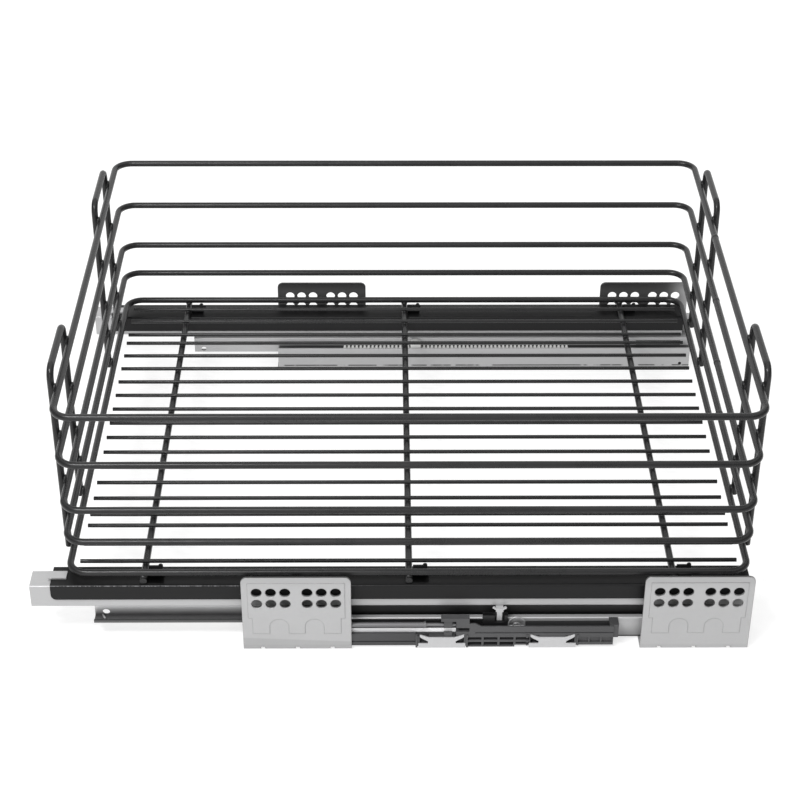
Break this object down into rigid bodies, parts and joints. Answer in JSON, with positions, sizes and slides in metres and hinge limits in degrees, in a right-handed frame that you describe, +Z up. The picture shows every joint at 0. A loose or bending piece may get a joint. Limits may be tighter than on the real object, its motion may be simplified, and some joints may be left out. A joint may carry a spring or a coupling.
{
  "type": "pull-out cargo basket",
  "caption": "Wire storage basket on two side-mounted, soft-closing telescopic slides with perforated wall brackets.",
  "frame": {"origin": "bottom centre of the whole object's bounding box, in the plane of the brackets' feet", "axes": "-X is the way the basket is pulled out, +Y runs from the near slide to the far slide, +Z is up"},
  "size_m": [0.517, 0.414, 0.204],
  "materials": {
    "black_wire": "powder coat, satin",
    "black_cover": "powder coat, satin",
    "zinc_rail": "galvanised",
    "zinc_bracket": "galvanised",
    "bright_steel": "bright",
    "dark_steel": "dark",
    "white_plastic": "moulded",
    "grey_plastic": "moulded",
    "dark_plastic": "moulded"
  },
  "bodies": {
    "cabinet_side": {"cabinet_rail_near": "zinc_rail", "front_bracket_near": "zinc_bracket", "back_bracket_near": "zinc_bracket", "rivets_near": "bright_steel", "rack_near": "white_plastic", "damper_tray_near": "dark_plastic", "soft_close_housing_near": "grey_plastic", "guide_strip_near": "bright_steel", "unit_clips_near": "bright_steel", "damper_rod_near": "bright_steel", "closing_spring_near": "bright_steel", "spring_cover_near": "dark_plastic", "cabinet_rail_far": "zinc_rail", "front_bracket_far": "zinc_bracket", "back_bracket_far": "zinc_bracket", "rivets_far": "bright_steel", "rack_far": "white_plastic", "damper_tray_far": "dark_plastic", "soft_close_housing_far": "grey_plastic", "guide_strip_far": "bright_steel", "unit_clips_far": "bright_steel", "damper_rod_far": "bright_steel", "closing_spring_far": "bright_steel", "spring_cover_far": "dark_plastic"},
    "basket": {"bottom_ring": "black_wire", "lower_ring": "black_wire", "middle_ring": "black_wire", "upper_ring": "black_wire", "top_ring": "black_wire", "front_near_loop": "black_wire", "front_far_loop": "black_wire", "back_near_loop": "black_wire", "back_far_loop": "black_wire", "front_cross_wire": "black_wire", "middle_cross_wire": "black_wire", "back_cross_wire": "black_wire", "floor_wires": "black_wire", "drawer_rail_near": "zinc_rail", "cover_near": "black_cover", "activator_near": "zinc_rail", "drawer_rail_far": "zinc_rail", "cover_far": "black_cover", "activator_far": "zinc_rail"},
    "middle_near": {"middle_rail_near": "zinc_rail"},
    "lower_carriage_near": {"lower_cage_near": "white_plastic", "lower_rollers_near": "bright_steel"},
    "upper_carriage_near": {"upper_cage_near": "white_plastic", "upper_rollers_near": "bright_steel"},
    "catch_carriage_near": {"catch_near": "dark_plastic", "catch_hook_near": "bright_steel", "damper_cylinder_near": "dark_steel"},
    "middle_far": {"middle_rail_far": "zinc_rail"},
    "lower_carriage_far": {"lower_cage_far": "white_plastic", "lower_rollers_far": "bright_steel"},
    "upper_carriage_far": {"upper_cage_far": "white_plastic", "upper_rollers_far": "bright_steel"},
    "catch_carriage_far": {"catch_far": "dark_plastic", "catch_hook_far": "bright_steel", "damper_cylinder_far": "dark_steel"}
  },
  "joints": [
    {"name": "basket_slide", "type": "slide", "parent": "cabinet_side", "child": "basket", "axis": [-1, 0, 0], "range_m": [0, 0.45]},
    {"name": "middle_slide_near", "type": "slide", "parent": "cabinet_side", "child": "middle_near", "axis": [-1, 0, 0], "range_m": [0, 0.225]},
    {"name": "lower_rollers_slide_near", "type": "slide", "parent": "cabinet_side", "child": "lower_carriage_near", "axis": [-1, 0, 0], "range_m": [0, 0.1125]},
    {"name": "upper_rollers_slide_near", "type": "slide", "parent": "cabinet_side", "child": "upper_carriage_near", "axis": [-1, 0, 0], "range_m": [0, 0.3375]},
    {"name": "catch_slide_near", "type": "slide", "parent": "cabinet_side", "child": "catch_carriage_near", "axis": [-1, 0, 0], "range_m": [0, 0.04], "stiffness_N_per_m": 60, "springref_m": -0.02},
    {"name": "middle_slide_far", "type": "slide", "parent": "cabinet_side", "child": "middle_far", "axis": [-1, 0, 0], "range_m": [0, 0.225]},
    {"name": "lower_rollers_slide_far", "type": "slide", "parent": "cabinet_side", "child": "lower_carriage_far", "axis": [-1, 0, 0], "range_m": [0, 0.1125]},
    {"name": "upper_rollers_slide_far", "type": "slide", "parent": "cabinet_side", "child": "upper_carriage_far", "axis": [-1, 0, 0], "range_m": [0, 0.3375]},
    {"name": "catch_slide_far", "type": "slide", "parent": "cabinet_side", "child": "catch_carriage_far", "axis": [-1, 0, 0], "range_m": [0, 0.04], "stiffness_N_per_m": 60, "springref_m": -0.02}
  ],
  "couplings": [
    {"joint": "middle_slide_near", "follows": "basket_slide", "ratio": 0.5},
    {"joint": "lower_rollers_slide_near", "follows": "basket_slide", "ratio": 0.25},
    {"joint": "upper_rollers_slide_near", "follows": "basket_slide", "ratio": 0.75},
    {"joint": "middle_slide_far", "follows": "basket_slide", "ratio": 0.5},
    {"joint": "lower_rollers_slide_far", "follows": "basket_slide", "ratio": 0.25},
    {"joint": "upper_rollers_slide_far", "follows": "basket_slide", "ratio": 0.75}
  ]
}
